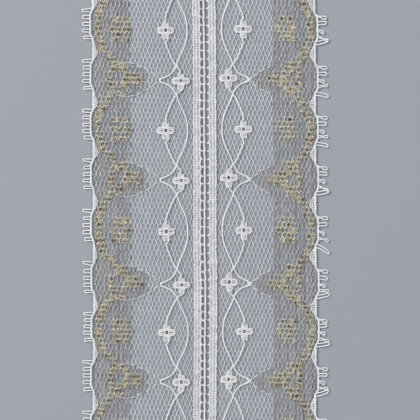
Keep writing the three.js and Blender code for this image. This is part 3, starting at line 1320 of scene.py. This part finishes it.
@dataclass
class Gold(Inlay):
    """The gold inlay of one half, and the motifs that it draws.

    In plain net one thread a wale lies on every other strand. In a motif the other
    strands carry one too, all of them are bolder, and threads that run up and down fill
    many of the holes.
    """

    first: int = 18  # first strand with a thread
    thick: float = 0.25  # thickness of the thread
    bold: float = 1.25  # how much thicker it is in a motif
    # Its painted highlight there, a lighter shade, at a wall's lower end, twice in its middle,
    # at its upper end and between walls.
    painted_glint: tuple[float, ...] = (0.5, 0.1, 0.1, 0.5, 0.9)
    on_top: float = 0.75  # share of the nodes that it passes over the net
    fill: int = 3  # laps up and down in a filled hole
    fill_wide: float = 0.42  # half the width that they fill
    fill_tall: float = 0.78  # half the height that they fill
    fill_share: float = 0.85  # share of the holes that are filled where they can be
    askew: float = 0.4  # standard deviation of the fillings' turn, in radians

    def phases(self, up: Grid) -> tuple[Grid, Grid]:
        """How high places are above the motifs' middles.

        Args:
            up: heights.

        Returns:
            Heights above the nearest rosette's middle, and the nearest fan's.
        """
        repeat = REPEAT * COURSE
        turns = (up - self.half.motif * COURSE) / repeat
        fan = turns - 0.5
        return (turns - np.round(turns)) * repeat, (fan - np.round(fan)) * repeat

    def zone(self, out: Grid, up: Grid) -> Mask:
        """Whether gold runs at a place: in the border, or inside a fan's dashed lines.

        Args:
            out: distances out.
            up: heights.

        Returns:
            True where it runs.
        """
        _, fan = self.phases(up)
        opened = np.abs(fan) < np.interp(out, TEARDROP_OUT, TEARDROP_HIGH)
        return (out > self.half.gold_from) | ((out > self.half.fan_from) & opened)

    def filled(self, out: Grid, up: Grid) -> Mask:
        """Whether a place is in a part of a motif whose holes are filled.

        They are a rosette's petals, the row through a fan's eye, the arc round its
        outer side, and the band that follows the scallops.

        Args:
            out: distances out.
            up: heights.

        Returns:
            True where the holes are filled.
        """
        s, f = self.phases(up)
        away = out - self.half.rosette_out
        inside = (np.abs(out - EYE.out) < EYE.wide) & (np.abs(f) < ROW / 2)
        for petal in PETALS:
            inside |= np.hypot((away - petal.out) / petal.wide, (s - petal.up) / petal.tall) < 1
        ray = np.hypot(out - ARC_OUT, f)
        inside |= (np.abs(ray - ARC_RADIUS) < ARC_HALF) & (out > ARC_FROM)
        shift = (self.half.crest - self.half.motif) * COURSE * 0.5
        bow = BOW_OUT - BOW_IN * (np.abs(s - shift) / BOW_AT) ** BOW_POWER
        return inside | (np.abs(out - bow) < BOW_HALF + BOW_WIDENS * np.abs(s))

    def motif(self, out: Grid, up: Grid) -> Mask:
        """Whether a place is in a motif: a filled part, or round a rosette or an eye.

        Args:
            out: distances out.
            up: heights.

        Returns:
            True in the motifs.
        """
        s, f = self.phases(up)
        away = out - self.half.rosette_out
        rosette = np.hypot(away / ROSETTE.wide, s / ROSETTE.tall) < 1
        eye = np.hypot((out - EYE.out) / EYE.wide, f / EYE.tall) < 1
        return self.filled(out, up) | rosette | eye

    def threads(self, way: Way) -> Yarns:
        """Sweeps the threads that lie on every other strand, where gold runs that way.

        Args:
            way: which strands.

        Returns:
            The swept threads.
        """
        rng = self.half.draws(20 + way.value)
        out, up, tilt, _ = self.lattice.strand(self.first + way.value, 2)
        drawn = self.motif(out, up)
        there = self.zone(out, up) if way is Way.EVEN else drawn
        wander = 0.06 * rng.normal(0, 1, out.shape)
        above = np.where(drawn | (rng.random(out.shape) < self.on_top), GOLD_HIGH, GOLD_LOW)
        paths, on_length = self.lattice.thread(out + wander, up, tilt * 1.5, above)
        keep = np.repeat(there, 5, axis=1)[:, :-1]
        keep[:, :-1] |= keep[:, 1:]
        keep &= on_length
        bold = np.repeat(drawn, 5, axis=1)[:, :-1]
        wide = self.thick * np.where(bold, self.bold, 1.0)
        # In a motif the threads are painted lighter at the wall ends and between walls: painted
        # highlight on a random tone.
        painted_glint = np.resize(self.painted_glint, paths.shape[1])
        lot = 0.35 * rng.random((len(paths), 1)) + np.where(bold, 0.8 * painted_glint, 0.0)
        return sweep(paths, wide, wide * 0.8, 4, keep, lot)

    def fills(self) -> Yarns:
        """The threads that run up and down in the motifs' filled holes.

        Each is a serpentine on its side, a little askew, with painted highlight at its turns.

        Returns:
            The swept fillings.
        """
        rng = self.half.draws(30)
        out, up, _, side = self.lattice.column(self.first)
        there = self.filled(out, up) & (side < 0) & (np.abs(up) < END - ROW)
        there &= rng.random(out.shape) < self.fill_share
        at, high = out[there][:, None], up[there][:, None]
        across, risen = laps(self.fill, 5, 0.0)
        reach = self.fill_wide * (risen / self.fill * 2 - 1)
        swing = np.sin(2.3 * risen + 6.3 * rng.random(at.shape))
        rise = self.fill_tall * across * (1 + 0.3 * swing)
        turn = self.askew * rng.normal(0, 1, at.shape)
        x = at + reach * np.cos(turn) - rise * np.sin(turn)
        y = high + reach * np.sin(turn) + rise * np.cos(turn)
        path = self.half.place(x, y, FILL_HIGH + 0.08 * swing)
        # A random tone, and painted highlight at the turns.
        lot = 0.5 * rng.random(at.shape) + 0.9 * np.abs(across) ** 3
        return sweep(path, self.thick, self.thick * 0.7, 4, lot=lot)

    def build(self) -> bpy.types.Object:
        """Joins the threads on both sets of strands and the filled holes."""
        parts = [self.threads(way) for way in Way] + [self.fills()]
        return piece(f"gold_{self.half.name}", parts, GOLD_YARN)


@dataclass
class Floor:
    """The plain pale floor."""

    size: float = 4.0  # its side, in metres
    colour: str = "#A0A5AE"
    roughness: float = 0.9

    def build(self) -> bpy.types.Object:
        """A square at height zero with a matt paint finish.

        Returns:
            The floor.
        """
        mesh = bpy.data.meshes.new("floor")
        h = self.size / 2
        mesh.from_pydata([(-h, -h, 0), (h, -h, 0), (h, h, 0), (-h, h, 0)], [], [(0, 1, 2, 3)])
        made = bpy.data.materials.new("matt_floor_paint")
        made.use_nodes = True
        shader = made.node_tree.nodes["Principled BSDF"]
        shader.inputs["Base Color"].default_value = linear(self.colour)
        shader.inputs["Roughness"].default_value = self.roughness
        mesh.materials.append(made)
        floor = placed("floor", mesh)
        return floor


@dataclass
class Studio:
    """Soft studio light and a camera straight above the lace."""

    across: float = 143.7  # width of the view at the lace
    aside: float = 1.80  # how far the camera stands to the right of the lace's middle
    roll: float = -0.15  # degrees that the camera is turned about its line of sight
    lens: float = 135.0  # focal length, long so that the view is nearly parallel
    sensor: float = 36.0  # width of the camera's sensor
    sky: float = 0.42  # strength of the even light

    def lamp(self, name: str, place: tuple[float, float, float], size: float, power: float) -> None:
        """Hangs a square soft lamp that faces the lace.

        Args:
            name: the lamp's name.
            place: where it hangs, in metres.
            size: its side, in metres.
            power: its power, in watts.
        """
        data = bpy.data.lights.new(name, "AREA")
        data.size, data.energy = size, power
        lamp = placed(name, data)
        x, y, z = place
        lamp.location = place
        lamp.rotation_euler = (math.atan2(math.hypot(x, y), z), 0, math.atan2(x, -y))

    def build(self) -> None:
        """Places the camera, the lamps and the world's even light."""
        data = bpy.data.cameras.new("camera")
        data.lens, data.sensor_width = self.lens, self.sensor
        camera = placed("camera", data)
        camera.rotation_euler[2] = math.radians(self.roll)
        camera.location = (self.aside * MM, 0, self.across * MM * self.lens / self.sensor)
        bpy.context.scene.camera = camera
        self.lamp("key", (-0.9, 0.6, 1.1), 0.7, 16.0)
        self.lamp("fill", (0.9, -0.5, 1.1), 1.0, 3.5)
        world = bpy.data.worlds.new("studio")
        world.use_nodes = True
        world.node_tree.nodes["Background"].inputs[0].default_value = (1, 1, 1, 1)
        world.node_tree.nodes["Background"].inputs[1].default_value = self.sky
        bpy.context.scene.world = world
        bpy.context.scene.view_settings.view_transform = "Standard"


def main() -> None:
    logging.basicConfig(level=logging.INFO, format="%(name)s %(message)s", stream=sys.stdout)
    for name in ("Cube", "Light", "Camera"):
        if name in bpy.data.objects:
            bpy.data.objects.remove(bpy.data.objects[name])
    Floor().build()
    Studio().build()
    Ladder().build()
    for half in HALVES:
        lattice = Lattice(half)
        net = Net(lattice).build()
        trims = [kind(half).build() for kind in (Band, Vines, Crosses, Edge, Picots)]
        trims.append(Gold(lattice).build())


if __name__ == "__main__":
    main()
